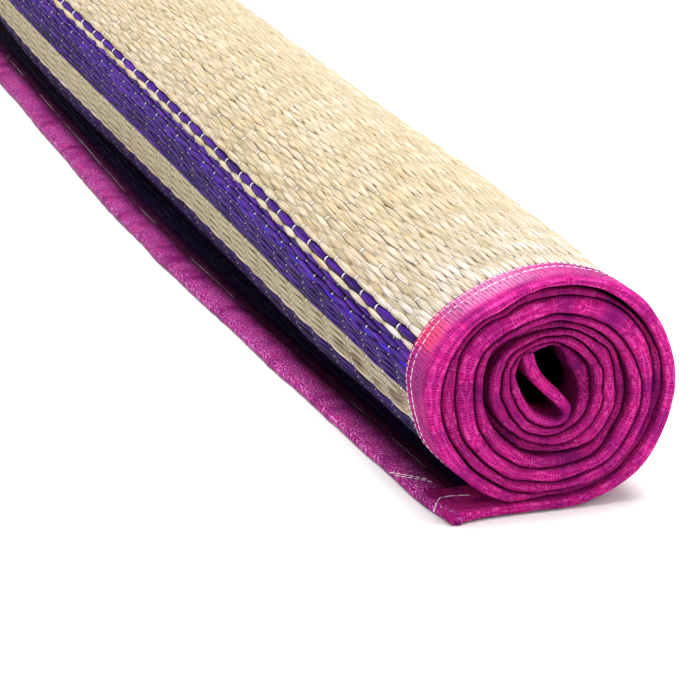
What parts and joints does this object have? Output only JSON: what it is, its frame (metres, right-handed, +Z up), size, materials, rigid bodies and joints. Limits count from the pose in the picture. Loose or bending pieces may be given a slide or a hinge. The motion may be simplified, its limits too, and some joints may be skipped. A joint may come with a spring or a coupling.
{
  "type": "rolled grass floor mat",
  "caption": "Woven grass floor mat with dyed stripes and sewn cloth edge tape, rolled up on its side with its loose end lying flat on the floor beneath it.",
  "frame": {"origin": "middle of the footprint, on the floor that the mat lies on", "axes": "+Y along the roll, the way the mat's reeds lie; +Z up; the loose end reaches out towards -X"},
  "size_m": [0.153, 1.2, 0.1163],
  "materials": {
    "reed_weave": "woven split grass reeds, satin, cream with violet dyed stripes and white warp thread",
    "edge_tape": "thin pink net cloth tape with a satin sheen, folded over the edge and stitched in white thread"
  },
  "bodies": {
    "root": {"woven_mat": "reed_weave", "side_binding_near": "edge_tape", "side_binding_far": "edge_tape", "end_binding": "edge_tape"}
  },
  "joints": []
}
